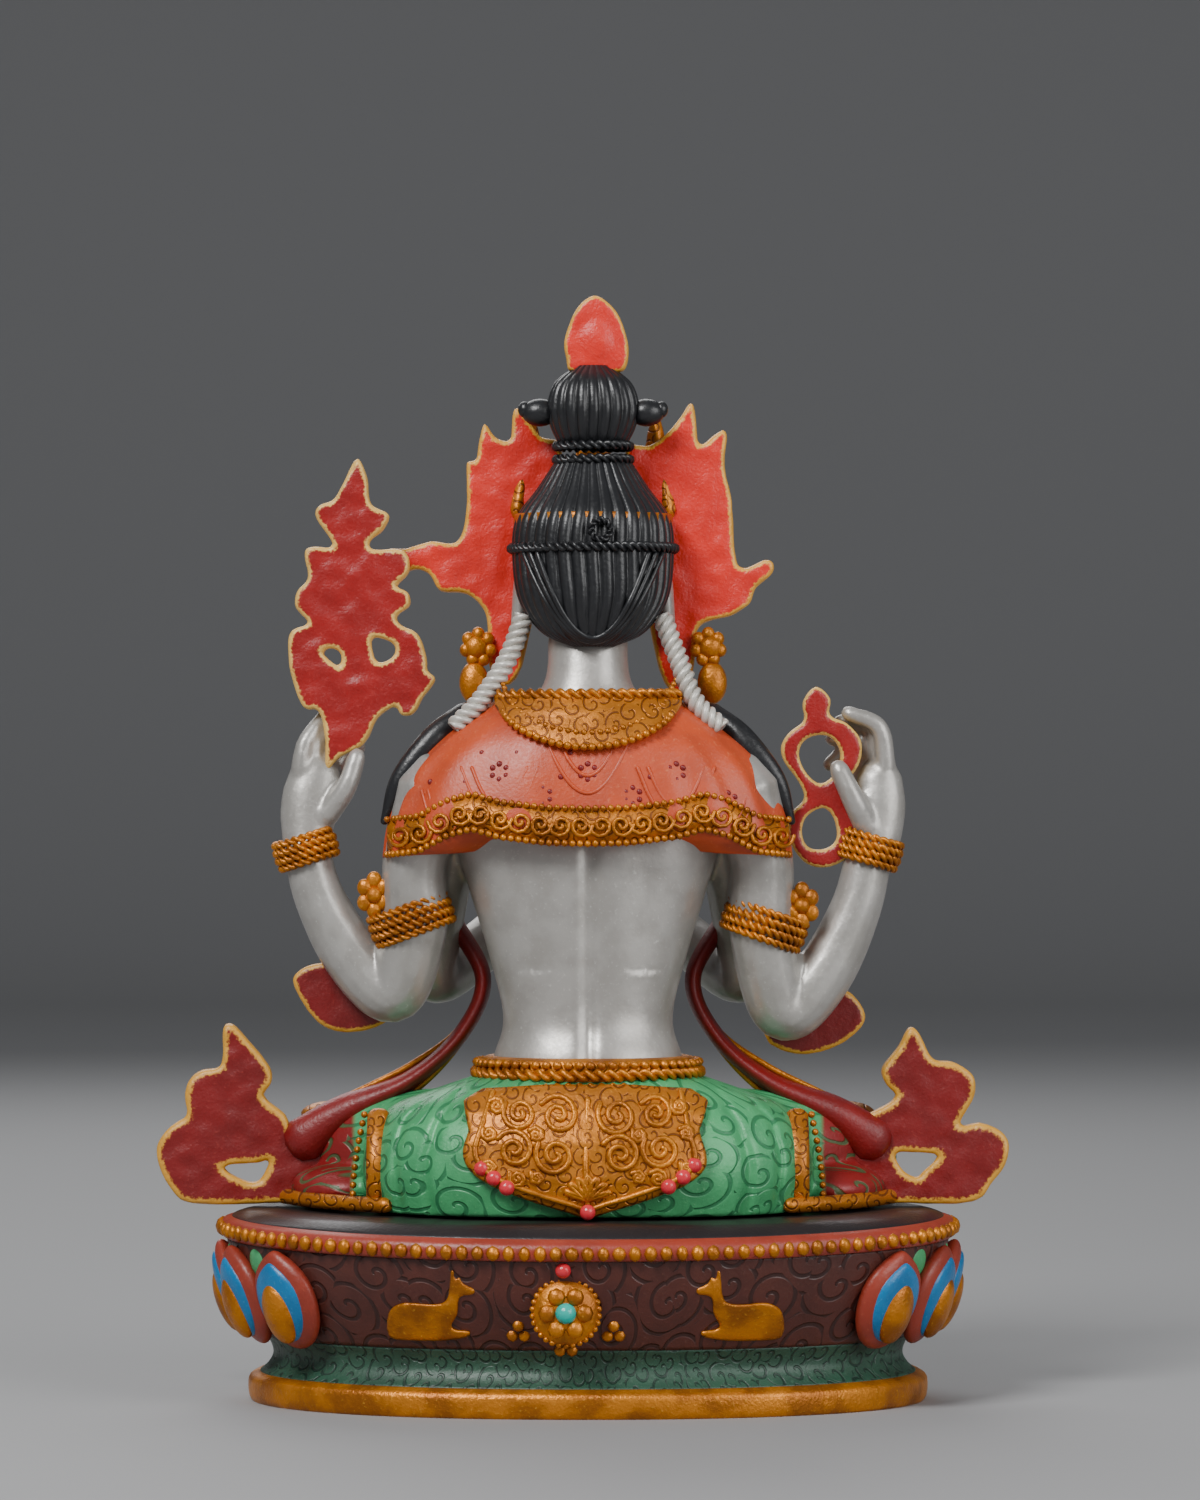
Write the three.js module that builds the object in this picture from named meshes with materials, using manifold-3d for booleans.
// A painted statuette of the four-armed Avalokiteshvara, seated in the lotus posture on a lotus seat.
// Millimetres, +Z up. The origin is the centre of the seat's underside, and the figure faces -Y, so its
// left side is +X. The left outer hand holds a lotus, the right outer hand a rosary.
import * as THREE from "three";
import { mergeVertices } from "three/addons/utils/BufferGeometryUtils.js";
import Module from "manifold-3d";

const wasm = await Module();
wasm.setup();

// Driving dimensions.
const SEAT = { halfWidth: 66.2, halfDepth: 45, squareness: 2.2, rimHeight: 34, top: 37 };
const GAP = 0.3; // clearance between pieces that touch
const LIFT = SEAT.top + GAP; // the figure's underside
const HEAD_X = -1; // the head stands 1 mm towards the figure's right
const BEAD_RADIUS = 1.4;
const TURQUOISE_RADIUS = 2;

// Helpers.

const vector = (x, y, z) => new THREE.Vector3(x, y, z);

// A geometry as a solid with its faces pointing out.
function solid(geometry) {
  const bare = geometry.clone();
  bare.deleteAttribute("normal");
  bare.deleteAttribute("uv");
  const merged = mergeVertices(bare, 1e-4);
  const vertProperties = new Float32Array(merged.attributes.position.array);
  const triVerts = new Uint32Array(merged.index.array);
  const made = new wasm.Manifold(new wasm.Mesh({ numProp: 3, vertProperties, triVerts }));
  if (made.volume() > 0) return made;
  for (let i = 0; i < triVerts.length; i += 3) {
    [triVerts[i + 1], triVerts[i + 2]] = [triVerts[i + 2], triVerts[i + 1]];
  }
  return new wasm.Manifold(new wasm.Mesh({ numProp: 3, vertProperties, triVerts }));
}

const join = (solids) => solids.reduce((all, next) => all.add(next));

function geometryOf(made) {
  const mesh = made.getMesh();
  const geometry = new THREE.BufferGeometry();
  geometry.setAttribute("position", new THREE.BufferAttribute(mesh.vertProperties, 3));
  geometry.setIndex(new THREE.BufferAttribute(mesh.triVerts, 1));
  geometry.computeVertexNormals();
  return geometry;
}

// A skin over rings that have the same number of points, closed by a fan at each end.
function loft(rings) {
  const count = rings[0].length;
  const middle = (ring) => ring.reduce((sum, p) => sum.add(p), vector(0, 0, 0)).divideScalar(count);
  const points = [...rings.flat(), middle(rings[0]), middle(rings.at(-1))];
  const last = (rings.length - 1) * count;
  const faces = [];
  for (let i = 0; i < count; i++) {
    const next = (i + 1) % count;
    for (let k = 0; k < last; k += count) {
      faces.push(k + i, k + next, k + count + next, k + i, k + count + next, k + count + i);
    }
    faces.push(points.length - 2, next, i, points.length - 1, last + i, last + next);
  }
  return new THREE.BufferGeometry().setFromPoints(points).setIndex(faces);
}

const power = (value, exponent) => Math.sign(value) * Math.abs(value) ** exponent;

// A level oval ring. squareness 2 is an ellipse; flute pushes every second point in by that share.
function oval(sides, { x = 0, y = 0, z, a, b, squareness = 2, flute = 0 }) {
  return Array.from({ length: sides }, (_, i) => {
    const turn = (2 * Math.PI * i) / sides;
    const size = 1 - (i % 2) * flute;
    const px = x + a * size * power(Math.cos(turn), 2 / squareness);
    return vector(px, y + b * size * power(Math.sin(turn), 2 / squareness), z);
  });
}

// Level ovals one above the other. A level is [height, half width, half depth, centre y].
function stack(levels, { sides = 14, x = 0, squareness = 2, flute = 0 } = {}) {
  const ring = ([z, a, b, y]) => oval(sides, { x, y, z, a, b, squareness, flute });
  return solid(loft(levels.map(ring)));
}

// A round limb through stations [x, y, z, radius, depth radius], with rounded ends unless caps is off.
function limb(stations, { sides = 7, steps = 1, caps = true } = {}) {
  const path = new THREE.CatmullRomCurve3(stations.map(([x, y, z]) => vector(x, y, z)), false, "centripetal");
  const spans = stations.length - 1;
  const radii = (t) => {
    const at = Math.min(spans - 1e-9, t * spans);
    const [from, to] = [stations[Math.floor(at)], stations[Math.floor(at) + 1]];
    const mix = (k) => THREE.MathUtils.lerp(from[k] ?? from[3], to[k] ?? to[3], at - Math.floor(at));
    return [mix(3), mix(4)];
  };
  const rings = [];
  const ring = (t, size, push) => {
    const along = path.getTangent(t);
    const across = vector(0, 1, 0).cross(along).normalize();
    const deep = along.clone().cross(across);
    const [wide, depth] = radii(t);
    const centre = path.getPoint(t).addScaledVector(along, push * Math.min(wide, depth));
    rings.push(Array.from({ length: sides }, (_, i) => {
      const turn = (2 * Math.PI * i) / sides;
      const point = centre.clone().addScaledVector(across, size * wide * Math.cos(turn));
      return point.addScaledVector(deep, size * depth * Math.sin(turn));
    }));
  };
  if (caps) ring(0, 0.55, -0.75);
  for (let i = 0; i <= spans * steps; i++) ring(i / (spans * steps), 1, 0);
  if (caps) ring(1, 0.55, 0.75);
  return solid(loft(rings));
}

// A plate standing across the view from behind, cut to an outline of [x, z] points, from y0 to y1.
function plate(outline, y0, y1, holes = []) {
  const flat = (points, clockwise) => {
    const line = points.map(([x, z]) => new THREE.Vector2(x, z));
    return THREE.ShapeUtils.isClockWise(line) === clockwise ? line : line.reverse();
  };
  const shape = new THREE.Shape(flat(outline, false));
  holes.forEach((hole) => shape.holes.push(new THREE.Path(flat(hole, true))));
  const geometry = new THREE.ExtrudeGeometry(shape, { depth: y1 - y0, bevelEnabled: false });
  return solid(geometry.rotateX(Math.PI / 2).translate(0, y1, 0));
}

// A smooth closed outline through a few [x, z] points.
function smooth(points, count) {
  const curve = new THREE.CatmullRomCurve3(points.map(([x, z]) => vector(x, 0, z)), true, "catmullrom", 0.5);
  return curve.getPoints(count).slice(0, -1).map((p) => [p.x, p.z]);
}

function ball(x, y, z, [rx, ry, rz], { sides = 7, rows = 4, lean = 0 } = {}) {
  const geometry = new THREE.SphereGeometry(1, sides, rows).rotateX(Math.PI / 2);
  return solid(geometry.scale(rx, ry, rz).rotateY(lean).translate(x, y, z));
}

// The same form on both sides of the body: build(1) is the figure's left, build(-1) its right.
const bothSides = (build) => join([build(1), build(-1)]);

// The lotus seat.

// A level ring of the seat, offset outwards. The rim sags a little at the back and front.
function seatRing(z, offset, { sides = 32, sag = 0 } = {}) {
  const { halfWidth, halfDepth, squareness } = SEAT;
  const ring = oval(sides, { z, a: halfWidth + offset, b: halfDepth + offset, squareness });
  return ring.map((p) => vector(p.x, p.y, p.z - sag * (p.y / halfDepth) ** 2));
}

// The seat's outline walked by length: the angles of points at an even pitch from one angle to another.
function evenAngles(from, to, count, offset) {
  const { halfWidth, halfDepth } = SEAT;
  const slices = 400;
  const speed = (t) => Math.hypot((halfWidth + offset) * Math.sin(t), (halfDepth + offset) * Math.cos(t));
  const step = (to - from) / slices;
  const lengths = [0];
  for (let i = 0; i < slices; i++) lengths.push(lengths[i] + speed(from + (i + 0.5) * step) * step);
  const pitch = lengths.at(-1) / (count - 1);
  return Array.from({ length: count }, (_, k) => {
    const i = lengths.findIndex((length) => length >= k * pitch - 1e-6);
    return from + i * step;
  });
}

const PETALS = { count: 17, from: Math.PI - 0.60, to: 2 * Math.PI + 0.60, leaf: [7.6, 3.4, 10], tongue: [3.9, 3, 6.8] };

// One petal: a broad pointed leaf that leans out, with a tongue swelling from its lower middle.
function petal(angle) {
  const { halfWidth, halfDepth } = SEAT;
  const part = ([rx, ry, rz], sides, rows, offset, z, tip) => {
    const geometry = new THREE.SphereGeometry(1, sides, rows).rotateX(Math.PI / 2);
    const place = geometry.attributes.position;
    for (let i = 0; i < place.count; i++) {
      const up = place.getZ(i);
      place.setX(i, place.getX(i) * (1 - tip * Math.abs(up) ** 3));
    }
    geometry.scale(rx, ry, rz).rotateX(-0.36);
    const normal = Math.atan2(Math.sin(angle) / (halfDepth + offset), Math.cos(angle) / (halfWidth + offset));
    geometry.rotateZ(normal - Math.PI / 2);
    const x = (halfWidth + offset) * power(Math.cos(angle), 2 / SEAT.squareness);
    const y = (halfDepth + offset) * power(Math.sin(angle), 2 / SEAT.squareness);
    return solid(geometry.translate(x, y, z));
  };
  const leaf = part(PETALS.leaf, 6, 4, 2, 21.8, 0.3);
  return leaf.add(part(PETALS.tongue, 5, 3, 4.4, 20.6, 0));
}

function medallion() {
  const centre = [4.1, 20.6];
  const disc = new THREE.CylinderGeometry(6.4, 6.4, 8, 14).translate(centre[0], 45.2, centre[1]);
  const petals = Array.from({ length: 6 }, (_, i) => {
    const turn = (i + 0.5) * (Math.PI / 3);
    const [x, z] = [centre[0] + 3.3 * Math.sin(turn), centre[1] + 3.3 * Math.cos(turn)];
    return ball(x, 49.1, z, [1.6, 1.1, 1.6], { sides: 5, rows: 3 });
  });
  return join([solid(disc), ...petals]);
}

function lotusSeat() {
  const profile = [
    // [height, offset, sag]: foot, neck, wall, beaded rim, top
    [0, -0.4, 0], [4.4, 0, 0], [5.6, -1.8, 0], [8.6, -4.6, 0], [13, -3, 0], [22, 2, 0],
    [31.6, 4.6, 1], [32.8, 6, 1.6], [35, 6, 1.6], [SEAT.top, 0, 0],
  ];
  const body = solid(loft(profile.map(([z, offset, sag]) => seatRing(z, offset, { sag }))));
  const { from, to, count } = PETALS;
  const petals = evenAngles(from, to, count, 2).map(petal);
  return join([body, ...petals, medallion()]);
}

// The figure's trunk, hips and legs.

const HIP_LEVELS = [
  // [height, half width, half depth, centre y]
  [LIFT, 42.5, 29.5, 4], [45, 44, 31, 4], [52, 42.5, 30, 4], [57.5, 38, 26, 5], [61, 29, 21.5, 7], [64, 20.5, 17, 8.5],
];

function hips() {
  return stack(HIP_LEVELS, { sides: 18, squareness: 2.5 });
}

function legs() {
  return bothSides((side) => join([
    limb([[side * 20, 4, 49, 12.5, 11], [side * 42, -8, 48, 11, 10.5], [side * 53, -20, 46, 9.5, 8.5]], { sides: 8, steps: 2 }),
    limb([[side * 53, -22, 45, 8.5, 7.6], [side * 30, -36, 44.8, 7.2, 7.4], [side * 4, -39, 45, 6.6, 7]], { sides: 7, steps: 2 }),
    ball(side * 19, -33, 52, [11.5, 6, 3.8], { lean: side * 0.12 }),
    ball(side * 47, -6, 41, [11.5, 16, 5.2]),
  ]));
}

// The cloth that falls over the front of the seat under the crossed shins, in fluted folds.
function lapCloth() {
  const folds = 7;
  const outline = Array.from({ length: folds * 2 + 1 }, (_, i) => {
    const turn = Math.PI * (i / (folds * 2));
    const reach = i % 2 ? 0.93 : 1;
    return [-24 * Math.cos(turn) * reach, -9 * Math.sin(turn) * reach];
  });
  const rings = [[LIFT, 1], [39, 1], [45, 0.5]].map(([z, size]) => (
    outline.map(([x, y]) => vector(x * size, -35 + y * size, z))));
  return solid(loft(rings));
}

const TRUNK_LEVELS = [
  [60, 20, 16, 9], [67, 18.4, 14.6, 9], [75, 16.5, 13, 8.2], [88, 19.6, 13.5, 8], [106, 25, 14.4, 7.6],
  [120, 28, 12.6, 8], [132, 18, 10, 7], [139, 9, 8.6, 5.6], [150, 7.6, 8, 3],
];

const trunk = () => stack(TRUNK_LEVELS, { sides: 14, squareness: 2.2 });

// Belt: a row of blocks, a twisted cord and a second row, as three rolls.
function belt() {
  const rolls = [[61.2, 20.4], [62.4, 21.7], [64.4, 22.3], [66.4, 21.4], [67.4, 18.6]];
  return stack(rolls.map(([z, a]) => [z, a, a - 3.8, 9]), { sides: 16, squareness: 2.2 });
}

// Apron: a shaped panel hanging from the belt down the back of the hips, 1.8 mm proud of the skirt.
function apron() {
  const half = [[20.2, 62.5], [22.8, 54], [23.8, 50], [22.6, 46.8], [18.5, 43.8], [10, 40.6], [5, 38.6]];
  const outline = [...half, [0, LIFT + 0.4], ...half.map(([x, z]) => [-x, z]).reverse()];
  const proud = HIP_LEVELS.map(([z, a, b, y]) => [z, a + 1.8, b + 1.8, y]);
  return stack(proud, { sides: 18, squareness: 2.5 }).intersect(plate(outline, 18, 50));
}

// Hem bands of the skirt: one upright at each side of the hips, one along the seat behind each knee.
function hems() {
  const proud = HIP_LEVELS.map(([z, a, b, y]) => [z, a + 0.9, b + 0.9, y]);
  const shell = stack(proud, { sides: 18, squareness: 2.5 });
  return bothSides((side) => {
    const band = plate([[side * 39.2, 36], [side * 39, 58], [side * 43, 58], [side * 46, 36]], -6, 30);
    const low = limb([[side * 38, 21, 38.8, 2.4, 1.3], [side * 52, 8, 38.8, 2.4, 1.3],
      [side * 60, -8, 38.8, 2.2, 1.3]], { sides: 6 });
    return shell.intersect(band).add(low);
  });
}

// Arms and hands.

function outerArm(side) {
  const drop = side > 0 ? 0 : 3.4; // the right elbow hangs lower
  return limb([
    [side * 29, 8, 118, 9, 9], [side * 33.6, 8, 106, 6.4, 7], [side * 34, 7, 92, 6.6, 6.8],
    [side * 38, 5, 79.5 - drop, 6, 6], [side * 46, 3.5, 86.5 - drop, 5.9, 5.8],
    [side * 52.5, 3, 98 - drop / 2, 5, 4.9], [side * 55.2, 2.5, 107, 4.6, 4.2],
  ], { sides: 8 });
}

function frontArm(side) {
  return limb([
    [side * 27, 4, 114, 7.5, 7.5], [side * 29.5, -2, 98, 6, 6.2], [side * 30.5, -7, 82.5, 5.4, 5.6],
    [side * 21, -19, 88, 5.2, 5.2], [side * 9, -28, 100, 4, 4.2],
  ]);
}

// The two front hands are pressed together at the breast round a jewel.
function prayingHands() {
  const hand = (side) => join([
    limb([[side * 8, -28, 101, 3.6, 4], [side * 3.6, -30.5, 108, 2.3, 5], [side * 2.5, -31.5, 115, 1.8, 4.4],
      [side * 1.6, -31, 123.5, 1.5, 3.6]]),
    limb([[side * 4.4, -27, 106, 1.8], [side * 3.4, -25.4, 112, 1.6], [side * 2.2, -26, 116, 1.3]], { sides: 6 }),
  ]);
  return bothSides(hand).add(ball(0, -30.5, 110, [3, 4.6, 3.4]));
}

// A finger through [x, y, z] joints, thinner towards its tip.
function finger(joints, radius) {
  const taper = (i) => radius * (1 - (0.22 * i) / (joints.length - 1));
  return limb(joints.map((joint, i) => [...joint, taper(i)]), { sides: 5, caps: false });
}

function lotusHand() {
  const palm = limb([[55, 2.5, 108, 4.6, 4], [54.6, 1.5, 116, 5.6, 3.6], [53, 0.5, 122.5, 5.2, 3.2]]);
  const knuckles = [[56.4, 2, 123], [54, 0.6, 124.5], [51.4, -0.6, 124.6], [49.2, -1.6, 123.6]];
  const tips = [[51.6, -1, 133.6], [48.6, -3, 133.4], [46.4, -4.6, 130.6], [45, -5.4, 127.4]];
  const fingers = knuckles.map((knuckle, i) => {
    const tip = tips[i];
    const bend = knuckle.map((value, k) => (value + tip[k]) / 2 + [1.3, 1.2, 0][k]);
    return finger([knuckle, bend, tip], 1.9);
  });
  const thumb = finger([[51, 3.4, 114], [47.2, 4.4, 119.5], [45.2, 3.6, 125.4]], 2.4);
  return join([palm, ...fingers, thumb]);
}

function rosaryHand() {
  const palm = limb([[-55.8, 2.5, 108, 4.7, 4], [-57, 1.5, 115, 5.2, 3.8], [-57, 0.5, 121.5, 4.6, 3.4]]);
  const knuckles = [[-58.4, 1.6, 123.4], [-57.4, -0.6, 124], [-55.8, -2.4, 122.6], [-54.2, -3.6, 120.6]];
  const bends = [[-57, 2, 131.2], [-55.6, -1.2, 132], [-53, -3.8, 130], [-51.4, -5.2, 126.4]];
  const tips = [[-51, 1.6, 134], [-49.6, -2, 132.4], [-48, -4.6, 129], [-47.6, -5.6, 124]];
  const fingers = knuckles.map((knuckle, i) => finger([knuckle, bends[i], tips[i]], 2));
  const thumb = finger([[-54.6, 4, 111.5], [-51.6, 6, 117.5], [-49, 5.4, 123]], 2.6);
  return join([palm, ...fingers, thumb]);
}

// A ring round an arm: centre, radius, the direction of the arm as lean angles, and its width.
function armRing([x, y, z], radius, lean, width, sides = 8) {
  const ring = new THREE.CylinderGeometry(radius, radius, width, sides).rotateX(Math.PI / 2);
  return solid(ring.rotateY(lean).translate(x, y, z));
}

function armJewels() {
  return bothSides((side) => {
    const drop = side > 0 ? 0 : 2;
    const armlet = armRing([side * 34.6, 6.8, 93.8 - drop / 2], 8.3, side * 0.35, 4.6);
    const flower = ball(side * 42, 8.6, 99 - drop, [2.6, 2.2, 4.6], { lean: side * 0.3 });
    const bracelet = armRing([side * 55.2, 2.6, 107.6], 5.8, side * 0.3, 4.4);
    return join([armlet, flower, bracelet]);
  });
}

// Cape over the shoulders: a fluted shell, open at the breast, with a scroll border along its lower edge.
function cape() {
  const levels = [
    [105, 38.6, 16.6, 8], [106.5, 40.4, 18.6, 8], [111.5, 40, 18.8, 8], [112, 38.8, 17.6, 8],
    [124, 33.4, 15.8, 8], [130, 27, 14, 7.5], [137.4, 16.6, 10, 6],
  ];
  const shell = stack(levels, { sides: 22, squareness: 2.2, flute: 0.024 });
  const breast = plate([[-17, 100], [-12, 128], [0, 136], [12, 128], [17, 100]], -30, 2);
  const scallop = (x, z, half) => plate(smooth([[x - half, 100], [x, z], [x + half, 100]], 9), -20, 40);
  const notches = join([scallop(0, 108.3, 22), scallop(-25.5, 110.6, 5), scallop(25.5, 110.6, 5)]);
  return shell.subtract(breast).subtract(notches);
}

// Collar: a crescent of gold on the nape with a roll along its lower edge.
function collar() {
  const top = 137.2;
  const crescent = [[18.4, top], [15, 131.6], [8, 128], [0, 126.8], [-8, 128], [-15, 131.6], [-18.8, top]];
  const levels = [[124, 34.6, 17, 8], [130, 28.2, 15.2, 7.5], [134.4, 21.8, 13.2, 7], [138, 17.4, 10.8, 6]];
  return stack(levels, { sides: 14, squareness: 2.2 }).intersect(plate(crescent, 6, 40));
}

const necklace = () => limb([[-15, -4, 131, 1.6], [-9, -8.4, 120, 1.7], [0, -9.4, 114, 2.6],
  [9, -8.4, 120, 1.7], [15, -4, 131, 1.6]], { sides: 6 });

// Head, hair and crown.

function head() {
  const face = stack([
    [147.4, 3.6, 3.4, -9.6], [149.4, 7, 7, -6], [153, 10.4, 11.6, -3], [158, 12.7, 14, -1.6],
    [165, 13.5, 14.8, -1], [172, 12.8, 14.2, -1],
  ], { sides: 12, x: HEAD_X });
  const nose = limb([[HEAD_X, -15.4, 165, 1.1], [HEAD_X, -16.6, 160.6, 1.5], [HEAD_X, -16.9, 158.8, 1.9, 1.4]], { sides: 6 });
  const ears = bothSides((side) => limb([[HEAD_X + side * 13.4, 0, 166, 1.6, 3], [HEAD_X + side * 14.2, -0.6, 159, 1.5, 2.6],
    [HEAD_X + side * 14.8, -1.4, 150, 1.5, 2.2]], { sides: 6 }));
  return join([face, nose, ears]);
}

// Hair drawn up into a high topknot; the flutes are its combed locks.
function hair() {
  const cap = stack([
    [147, 4.6, 4, 11], [150, 10.4, 8.6, 8], [156, 14.4, 14, 4.2], [164.6, 15.6, 16, 2.2],
    [166, 16.4, 16.8, 2.2], [167.4, 15.6, 16, 2], [172, 15, 15.4, 1.8], [178, 10.8, 11.2, 1.6],
    [183.4, 7.2, 7.4, 1.8],
  ], { sides: 18, x: HEAD_X, flute: 0.04 });
  const bands = stack([[182.8, 6.8, 6.8, 1.8], [184.8, 7.6, 7.6, 1.8], [186.8, 6.6, 6.6, 1.8]], { sides: 10, x: HEAD_X });
  const topknot = stack([[186.4, 6.8, 6.8, 1.8], [190, 8.3, 8.2, 1.8], [194, 9, 8.8, 1.8], [198.6, 7.4, 7.2, 1.8],
    [201.8, 3.8, 3.8, 1.8]], { sides: 14, x: HEAD_X, flute: 0.05 });
  const knobs = bothSides((side) => ball(HEAD_X + side * 10.6, 2, 192.6, [3.8, 2.8, 2.8], { lean: -side * 0.25 }));
  const braids = bothSides((side) => limb([[HEAD_X + side * 13.4, 6, 152, 2, 2.4], [HEAD_X + side * 16.4, 7, 144.5, 1.9, 2.4],
    [side * 20.5, 8, 136, 1.9, 2.2], [side * 29, 6.6, 128.4, 2.2, 2.2], [side * 36.5, 6, 120, 1.8, 1.6],
    [side * 40, 6, 112, 1, 1]], { sides: 5 }));
  return join([cap, bands, topknot, knobs, braids]);
}

const TOP_JEWEL = [[-1.3, 215.7], [1.4, 214], [3.4, 210.8], [4.6, 206.6], [4.2, 203.4], [3, 200.6], [-5.4, 200.6],
  [-7.6, 202], [-7.8, 206.4], [-6.2, 211.4], [-4, 214.2]];

// Outer leaves of the crown as seen from behind; the left one runs on to touch the lotus.
const CROWN_RIGHT = [
  [-7, 184], [-12, 186.6], [-16.6, 190], [-20.2, 195.3], [-21.2, 191.5], [-22, 186.6], [-26.2, 189.8],
  [-27.3, 188.2], [-26.8, 182.6], [-28.3, 175.6], [-29.4, 163], [-34.8, 164.2], [-36.5, 163.4], [-36, 161.2],
  [-33, 158.8], [-31.6, 155.4], [-28, 153.2], [-22.6, 151.8], [-21.2, 149], [-20.8, 143], [-19, 137.8],
  [-15, 140], [-12, 152],
];
const CROWN_LEFT = [
  [5, 184.4], [9.4, 188.4], [13.9, 194.3], [15, 191.4], [15.3, 187.6], [18.2, 188.2], [20.4, 191], [21.6, 186.4],
  [22, 183.6], [23.8, 183.2], [23.8, 176.4], [24.5, 170.6], [26.4, 167.4], [31, 167.8], [36, 166.4], [40, 166],
  [40, 161], [36.5, 161.6], [33.6, 162.4], [31, 161.2], [29, 158], [24, 157.6], [20.5, 154.4], [19.7, 150],
  [20, 146], [18, 140], [14, 141], [11, 152],
];

// Three leaves over the brow, each a pointed plate leaning on the hair.
function browLeaves() {
  const leaf = (turn, height, half) => {
    const outline = smooth([[0, 170], [half, 173], [half * 0.85, 178], [0, height], [-half * 0.85, 178], [-half, 173]], 10);
    const shape = new THREE.Shape(outline.map(([x, z]) => new THREE.Vector2(x, z)));
    const geometry = new THREE.ExtrudeGeometry(shape, { depth: 2.4, bevelEnabled: false });
    return solid(geometry.rotateX(Math.PI / 2).translate(0, -14, 0).rotateZ(turn).translate(HEAD_X, 1, 0));
  };
  const band = stack([[168.6, 14.8, 16.4, -0.4], [173, 15.4, 17, -0.4]], { x: HEAD_X });
  return join([band, leaf(0, 196, 6), leaf(0.95, 193, 5.4), leaf(-0.95, 193, 5.4)]);
}

function crown() {
  const earrings = bothSides((side) => join([
    limb([[HEAD_X + side * 14.8, -2, 150, 1.8], [HEAD_X + side * 22.4, -4.4, 147, 3.6, 2.4],
      [HEAD_X + side * 23, -4, 139.4, 3.2, 2.4], [side * 27, 1, 131, 3], [side * 30, 4, 126, 2.4]], { sides: 6 }),
  ]));
  return join([plate(CROWN_RIGHT, -8, -4.4), plate(CROWN_LEFT, -8, -4.4), browLeaves(), earrings, plate(TOP_JEWEL, -0.6, 4)]);
}

// Attributes and scarves.

const LOTUS = [
  [45.2, 184], [43.2, 180], [42.8, 175.6], [41.6, 174.2], [38.9, 172.8], [40, 170], [42.6, 167.8], [42.2, 166],
  [36, 165.8], [35, 161.6], [37.6, 159], [35.2, 157.6], [35, 155], [37.5, 153], [36.6, 151.2], [33.2, 149.4],
  [31.6, 144.6], [31.4, 142.2], [29.8, 140.6], [32.2, 137.2], [34.2, 133.8], [36.6, 133.6], [37.7, 135.4],
  [41.2, 133], [44, 127.8], [48.6, 125.4], [51.2, 122.8], [51.4, 128.6], [52.6, 134.4], [55.8, 135.2],
  [58.2, 142], [58.6, 147.4], [57.8, 150.2], [54.6, 151.6], [57.2, 154.6], [56.9, 158], [54.8, 160.4],
  [55.5, 165.6], [53.5, 166.6], [49.9, 166.4], [50.6, 168.4], [53.3, 172.4], [52.4, 174.6], [49.8, 175.8], [47.4, 180],
];
const LOTUS_HOLES = [
  [[52, 145.8], [50.4, 146.8], [48.4, 145.8], [48.6, 143]],
  [[42.4, 148.2], [41, 148.8], [37.8, 147.4], [38.4, 144.8], [41.4, 144]],
];

function lotus() {
  const bloom = [[45.6, 161, 6.4], [45, 141, 7.4]];
  const swell = bloom.map(([x, z, size]) => ball(x, -3.6, z, [size, 2.4, size * 0.8]));
  return join([plate(LOTUS, -2, 3.4, LOTUS_HOLES), ...swell]);
}

const ROSARY = {
  outline: [[-44.6, 139.2], [-42, 136.2], [-42.3, 132.6], [-39.8, 130.6], [-37.8, 127.6], [-38.4, 124.4],
    [-41.2, 120.6], [-42.3, 117.2], [-39.8, 114.6], [-39, 111], [-40.2, 107.4], [-43, 104.4], [-47.2, 103.9],
    [-51, 106], [-53, 109.6], [-52.6, 113], [-50.4, 117.4], [-50.6, 120.4], [-53, 124], [-53.4, 128.6], [-50.6, 132],
    [-47.2, 133.6], [-47.4, 136.8]],
  upper: [[-45.6, 129.8], [-42.4, 128.8], [-41.2, 126], [-42.6, 122.4], [-45.4, 120.2], [-48.4, 122.2], [-49.4, 126], [-48, 128.8]],
  lower: [[-45.2, 115.4], [-42.6, 113.6], [-41.8, 110.6], [-43, 107.8], [-46.2, 107.4], [-48.6, 109.2], [-48.4, 112.6], [-47, 115]],
};

// The rosary hangs as a figure of eight, and its lower loop touches the cape's border.
function rosary() {
  const tie = limb([[-40, 6, 110.4, 1.6], [-43, 3, 110, 1.6]], { sides: 6 });
  return plate(ROSARY.outline, 0.4, 4.4, [ROSARY.upper, ROSARY.lower]).add(tie);
}

const SCARF_LEFT = [
  [70, 72.8], [71.8, 72], [72.2, 64.8], [75.8, 63.8], [78.4, 62], [79.3, 58.6], [78.9, 55], [81.8, 53],
  [84.6, 49.4], [84.6, 45.6], [82, 40.4], [77.9, 37.6], [64, 37.6], [56, 39], [50, 48], [48, 58], [53, 55], [57.9, 51.7], [59.6, 55],
  [63.9, 58.6], [62.3, 61.2], [62.8, 64.6], [67.4, 70.2],
];
const SCARF_LEFT_HOLE = [[72, 44.8], [65, 45.6], [62.6, 46.2], [64.6, 42.2], [67.6, 42]];
const SCARF_RIGHT = [
  [-63.2, 72.2], [-60.8, 68], [-57.8, 64], [-58.8, 60.8], [-60.7, 58.6], [-57, 56], [-53, 55], [-46, 58], [-47, 48],
  [-54, 39], [-64, 37.6], [-76, 38], [-79.4, 41.6], [-82.2, 45.4], [-82.8, 49.2], [-81.2, 51.8], [-77, 53.4],
  [-73, 53], [-75.6, 57.8], [-76.3, 61], [-75.2, 63.4], [-71.7, 65.4], [-67.8, 66], [-65.2, 71],
];
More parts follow.
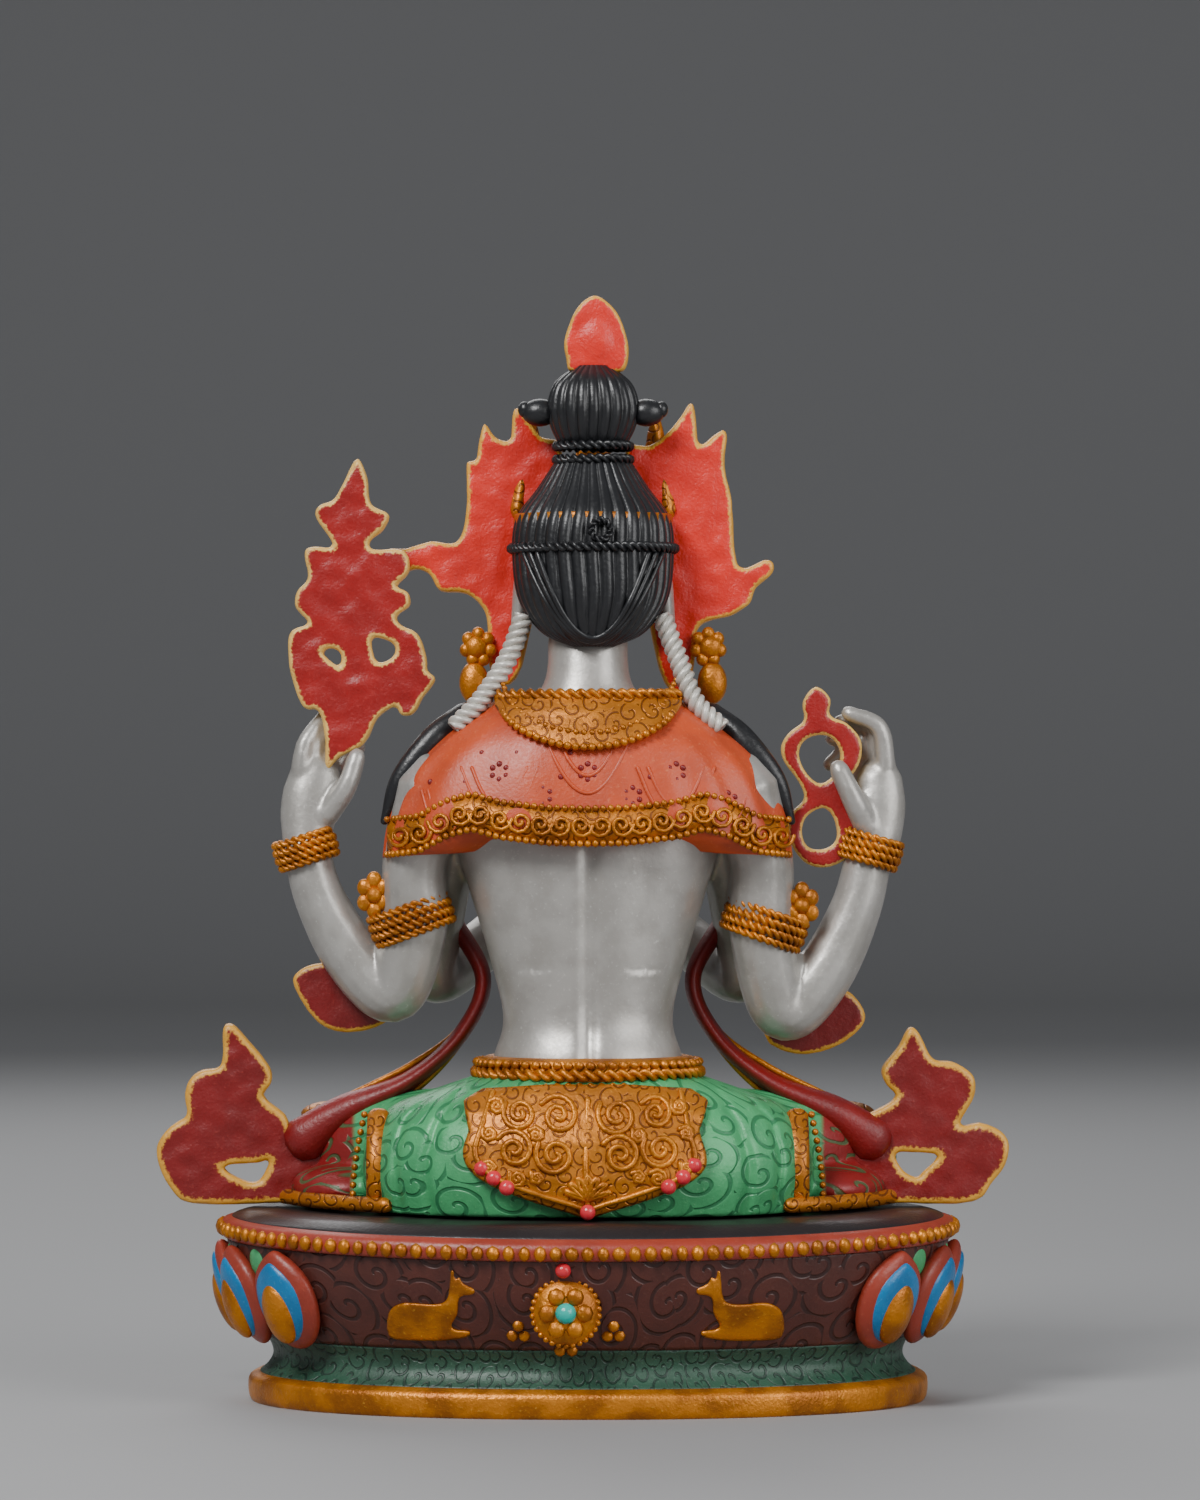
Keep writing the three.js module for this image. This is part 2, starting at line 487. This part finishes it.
const SCARF_RIGHT_HOLE = [[-60.4, 47.4], [-64.2, 47.6], [-69, 47], [-66.2, 44], [-64.8, 42.6], [-62, 44]];

function scarves() {
  const ribbons = bothSides((side) => limb([
    [side * 27, -6, 94, 1.8, 4], [side * 20.6, -3, 82, 1.6, 4], [side * 25, -3, 71, 1.6, 4.4],
    [side * 35, -4, 62, 2, 4.8], [side * 48, -5, 55.6, 3.4, 4.4], [side * 56, -5, 50, 4.6, 3.6],
  ]));
  const loopLeft = plate([[57.6, 80.4], [56.8, 83.4], [52, 85], [44, 84], [38, 77], [40, 73.2], [47, 71.4], [53, 73.4]], -6, 0.4);
  const loopRight = plate([[-34.6, 71], [-40.6, 67.2], [-48, 68.4], [-53.6, 72.4], [-54, 76], [-50, 80], [-42, 80]], -6, 0.4);
  const ends = plate(SCARF_LEFT, -8.4, -4, [SCARF_LEFT_HOLE]).add(plate(SCARF_RIGHT, -8.4, -4, [SCARF_RIGHT_HOLE]));
  return join([ribbons, loopLeft, loopRight, ends]);
}

// Knee ornaments: a low gold boss on each knee.
const kneeBosses = () => bothSides((side) => ball(side * 51, -16, 54.6, [6, 5.4, 2.6]));

// Inset beads: where each one is centred. Each sits in a socket cut GAP wider than itself.
const APRON_BEADS = [[20.2, 47, 33.6], [17.9, 45.2, 34.6], [15.4, 43.4, 35.2], [0, 38.8, 36.2],
  [-15.4, 43.6, 35.2], [-18.2, 45.4, 34.5], [-20.3, 47.6, 33.5]];
const FIGURE_BEADS = [
  ...APRON_BEADS.map(([x, z, y], i) => ({ name: `coral_bead_apron_${i + 1}`, at: [x, y, z] })),
];
const SEAT_BEADS = [
  { name: "coral_bead_medallion", at: [4.6, 49.6, 28.4] },
  { name: "turquoise_medallion", at: [4.1, 49.8, 20.6], radius: TURQUOISE_RADIUS },
];

const sphere = ({ at, radius = BEAD_RADIUS }, grow = 0) => (
  new THREE.SphereGeometry(radius + grow, 6, 4).rotateX(Math.PI / 2).translate(...at));
const socketed = (body, beads) => beads.reduce((left, bead) => left.subtract(solid(sphere(bead, GAP))), body);

function figure() {
  const bodyParts = [hips(), legs(), lapCloth(), trunk(), belt(), apron(), hems(), cape(), collar(), necklace()];
  const armParts = [bothSides(outerArm), bothSides(frontArm), prayingHands(), lotusHand(), rosaryHand(), armJewels()];
  const upperParts = [head(), hair(), crown(), lotus(), rosary(), scarves(), kneeBosses()];
  const whole = join([...bodyParts, ...armParts, ...upperParts]);
  const seatTop = solid(new THREE.BoxGeometry(300, 300, 2 * LIFT));
  return socketed(whole.subtract(seatTop), FIGURE_BEADS);
}

// Materials, as painted.
const paint = (color, roughness, metalness = 0) => new THREE.MeshStandardMaterial({ color, roughness, metalness });
const MATERIALS = {
  silver: paint(0xb9b4aa, 0.42, 0.35),
  oxblood: paint(0x4a211b, 0.55),
  coral: paint(0xc9333a, 0.3),
  turquoise: paint(0x1fa8a0, 0.3),
};

const statue = new THREE.Group();
function addPiece(name, geometry, material) {
  const mesh = new THREE.Mesh(geometry, material);
  mesh.name = name;
  statue.add(mesh);
}

addPiece("lotus_seat", geometryOf(socketed(lotusSeat(), SEAT_BEADS)), MATERIALS.oxblood);
addPiece("figure", geometryOf(figure()), MATERIALS.silver);
[...FIGURE_BEADS, ...SEAT_BEADS].forEach((bead) => {
  const material = bead.name.startsWith("coral") ? MATERIALS.coral : MATERIALS.turquoise;
  addPiece(bead.name, geometryOf(solid(sphere(bead))), material);
});

export default statue;
